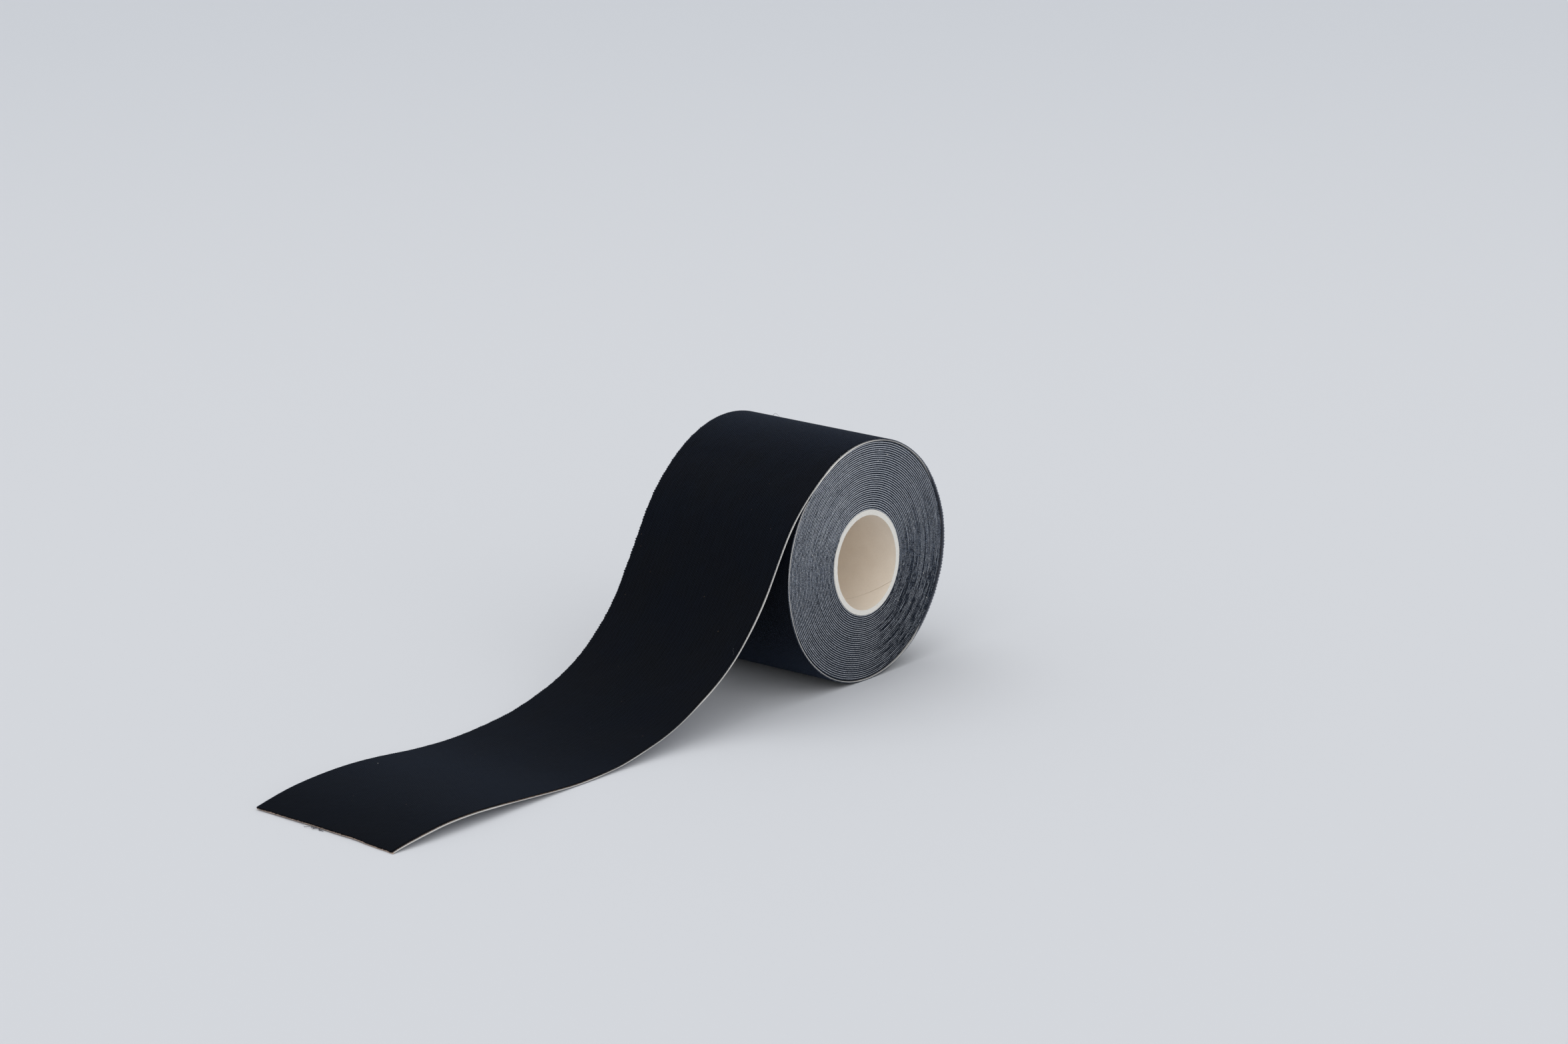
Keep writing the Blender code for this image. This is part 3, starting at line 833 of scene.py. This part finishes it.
def edge_fuzz(strip, fuzz):
    """Fine fibres along both edges of the loose turn and of the rise to it."""
    count = 900
    row = rng.integers(int(len(strip.length) * 0.36), len(strip.length) - 40, count)
    far = rng.random(count) < 0.5
    edge_y = np.where(far, FAR_Y - 0.05 * MM, NEAR_Y + 0.05 * MM)
    start = strip.place(row, edge_y, rng.uniform(0.2, 0.5, count) * MM)
    outward = np.where(far, 1.0, -1.0)
    paths = []
    for i in range(count):
        run = (rng.normal(0, 0.35), outward[i], rng.normal(0, 0.35))
        paths.append(curled(start[i], run, rng.uniform(0.15, 0.50) * MM, rng.normal(0, 0.12, 3) * MM))
    fibres("edge_fuzz", paths, 0.014 * MM, fuzz, "cloth", "unwound_tape")


def cut_end_yarns(strip, yarn):
    """The short yarn ends left by a hand cut."""
    across = np.arange(NEAR_Y + 0.3 * MM, FAR_Y - 0.3 * MM, 0.36 * MM)
    across = across + rng.uniform(-0.1, 0.1, len(across)) * MM
    start = strip.place(np.full(len(across), 1), across, rng.uniform(0.22, 0.42, len(across)) * MM)
    paths = []
    for i in range(len(across)):
        size = (0.12 + (0.34 if across[i] < 0 else 0.55) * rng.random() ** 2) * MM
        run = (-1.0, rng.normal(0, 0.35), rng.normal(-0.15, 0.15))
        paths.append(curled(start[i], run, size, rng.normal(0, 0.05, 3) * MM))
    fibres("cut_end_yarns", paths, 0.06 * MM, yarn, "cloth", "peel_tip", 5)


def waved(start, end, rise, waves, sway, count=60):
    """A loose thread from start to end, waving from side to side and lifting in the middle."""
    share = np.linspace(0, 1, count)[:, None]
    start, end = np.asarray(start), np.asarray(end)
    run = (end - start) / np.linalg.norm(end - start)
    aside = np.array([-run[1], run[0], 0.0])
    hump = np.sin(share * math.pi)
    swing = np.sin(share * waves * 2 * math.pi) * sway * hump**0.5
    return start + (end - start) * share + aside * swing + np.array([0, 0, 1.0]) * rise * hump


def on_strip(strip, along, across, height):
    """The row of a strip this far from its tip, and the point there, all in millimetres."""
    row = int(np.argmin(np.abs(strip.length - along * MM)))
    return row, strip.place(np.array([row]), np.array([across * MM]), height * MM)[0]


def loose_threads(strip, grey, lint):
    """The threads and specks that lie on the tape or hang from its edges, all given in millimetres."""
    long_thread = waved(
        np.array((-184.5, 0.0, 0.12)) * MM, np.array((-185.0, 6.4, 0.10)) * MM, 0.35 * MM, 2.5, 0.40 * MM
    )
    short_thread = waved(
        np.array((-184.3, 0.8, 0.15)) * MM, np.array((-184.4, 4.6, 0.12)) * MM, 0.10 * MM, 2.0, 0.55 * MM
    )
    fibres("cut_end_thread", [long_thread, short_thread], 0.08 * MM, grey, "cloth", "peel_tip", 5)

    start = on_strip(strip, 221.5, 16.8, 0.5)[1]
    loop = np.array(
        (
            (0, 0, 0),
            (0.1, -0.5, 0.55),
            (0, -1.1, 0.78),
            (-0.1, -1.7, 0.62),
            (0, -2.1, 0.25),
            (0.15, -2.3, 0.02),
        )
    )
    fibres("top_thread", [start + loop * MM], 0.045 * MM, grey, "cloth", "unwound_tape", 5)

    row, start = on_strip(strip, 134.2, -23.8, 0.55)
    slope = strip.side[row]
    curl = ((0, 0), (-0.3, 0.4), (0.1, 0.9), (0.6, 1.3), (0.9, 1.9), (0.8, 2.2))
    lying = [start + np.array((rise * slope[1], side, 0.02 - rise * slope[0])) * MM for side, rise in curl]
    run, bend = (0.5, 0.8, 0.0), (0.05 * MM, 0.0, 0.03 * MM)
    specks = [
        curled(on_strip(strip, along, across, 0.55)[1], run, 0.3 * MM, bend)
        for along, across in ((96.0, -3.0), (171.0, 4.0), (229.0, 9.0), (39.8, 20.2))
    ]
    fibres("tape_lint", [lying, *specks[:3]], 0.035 * MM, grey, "cloth", "unwound_tape", 5)
    fibres("end_lint", specks[3:], 0.05 * MM, lint, "cloth", "free_end_2", 5)


def core_pieces(materials):
    """The core's plies as thin helical tubes, each with its own seam."""
    radius = CORE_BORE_RADIUS
    first_seam, seam_step = -34.0, 75.0
    around, along = 150, 60
    ragged = rng.uniform(-0.05, 0.05, 361) * MM
    ragged[-1] = ragged[0]
    for index, (ply, thickness) in enumerate(CORE_PLIES.items()):
        y = np.linspace(NEAR_Y, FAR_Y, along)
        seam_width = (0.17 if index == 0 else 0.01) * MM
        gap = math.degrees(seam_width / radius)
        turn = np.linspace(gap / 2, 360 - gap / 2, around)
        start = first_seam + index * seam_step - (y - NEAR_Y) / CORE_SEAM_LEAD * 360
        rings = []
        for distance, order in ((radius, 1), (radius + thickness, -1)):
            for row in range(along):
                flat = core_shift(on_roll(np.full(around, distance), start[row] + turn))
                rings.append(np.stack([flat[:, 0], np.full(around, y[row]), flat[:, 1]], axis=1))
        inner, outer = np.array(rings[:along]), np.array(rings[along:])
        for shell in (inner, outer):
            for row in (0, -1):
                shell[row, :, 1] += np.interp((start[row] + turn) % 360, np.arange(361), ragged)
        verts = np.concatenate([inner.reshape(-1, 3), outer.reshape(-1, 3)])
        faces = shell_faces(along, around)
        piece = mesh_object(ply.replace("ply", "paper"), verts, faces)
        piece.data.set_sharp_from_angle(angle=math.radians(40))
        slot = ("core_inner", "core_board", "core_board", "core_outer")[index]
        finish_piece(piece, [materials[slot]])
        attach(piece, "roll")
        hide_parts(ply)
        radius += thickness + CORE_GAP


def shell_faces(rows, columns):
    """Faces of a closed shell: an inner and an outer grid joined along their four sides."""
    faces = []
    outer = rows * columns

    def at(layer, row, column):
        return layer * outer + row * columns + column

    for row in range(rows - 1):
        for column in range(columns - 1):
            ring = [(row, column), (row, column + 1), (row + 1, column + 1), (row + 1, column)]
            faces.append([at(0, *corner) for corner in ring])
            faces.append([at(1, *corner) for corner in reversed(ring)])
    for column in range(columns - 1):
        for row, flip in ((0, True), (rows - 1, False)):
            near, far = (row, column), (row, column + 1)
            face = [at(0, *near), at(0, *far), at(1, *far), at(1, *near)]
            faces.append(face[::-1] if flip else face)
    for row in range(rows - 1):
        for column, flip in ((0, False), (columns - 1, True)):
            near, far = (row, column), (row + 1, column)
            face = [at(0, *near), at(0, *far), at(1, *far), at(1, *near)]
            faces.append(face[::-1] if flip else face)
    return faces


make_camera()
make_stage()
make_light()
cloth = cloth_material()
adhesive = adhesive_material()
# Each liner takes the painted-shade grey faces, a pale cut edge, and then its cut edge's painted shade.
loose_liner = liner_material("liner_paper", *SHADED_LINER_FACE, (0.70, 0.69, 0.67), (0.58, 0.57, 0.56))
wound_liner = liner_material("wound_liner_paper", *SHADED_LINER_FACE, (0.76, 0.80, 0.88), (0.16, 0.17, 0.19))
core_papers = {
    "core_inner": paper_material(
        "core_inner_paper", (0.86, 0.775, 0.67), (0.81, 0.72, 0.615), 0.75, rim=CORE_RIM
    ),
    "core_board": paper_material(
        "core_board", (0.83, 0.80, 0.74), (0.75, 0.71, 0.65), 0.85, rim=CORE_RIM
    ),
    "core_outer": paper_material(
        "core_outer_paper", (0.83, 0.80, 0.75), (0.75, 0.71, 0.65), 0.75, rim=CORE_RIM
    ),
}
start_strip_paper = paper_material("start_strip_paper", (0.80, 0.77, 0.68), (0.70, 0.66, 0.56), 0.4)
# Painted sheen: the black cotton's fuzz is coloured pale blue-grey for the light its fine fibres catch.
fuzz = fibre_material("cotton_fuzz", (0.43, 0.49, 0.58), (0.05, 0.06, 0.09))
yarn = fibre_material("black_yarn", (0.030, 0.024, 0.022), (0.006, 0.006, 0.008))
thread = fibre_material("grey_thread", (0.11, 0.11, 0.13), (0.04, 0.04, 0.05))
lint = fibre_material("pale_lint", (0.80, 0.78, 0.74), (0.50, 0.50, 0.52))
loose_strip = unwound_pieces(cloth, adhesive, loose_liner)
wound_pieces(cloth, wound_liner)
core_pieces(core_papers)
ring_fuzz(fuzz, lint)
edge_fuzz(loose_strip, fuzz)
cut_end_yarns(loose_strip, yarn)
loose_threads(loose_strip, thread, lint)
start_strip = frame["nodes"]["core_start_strip"]
start_strip.data.materials.clear()
start_strip.data.materials.append(start_strip_paper)
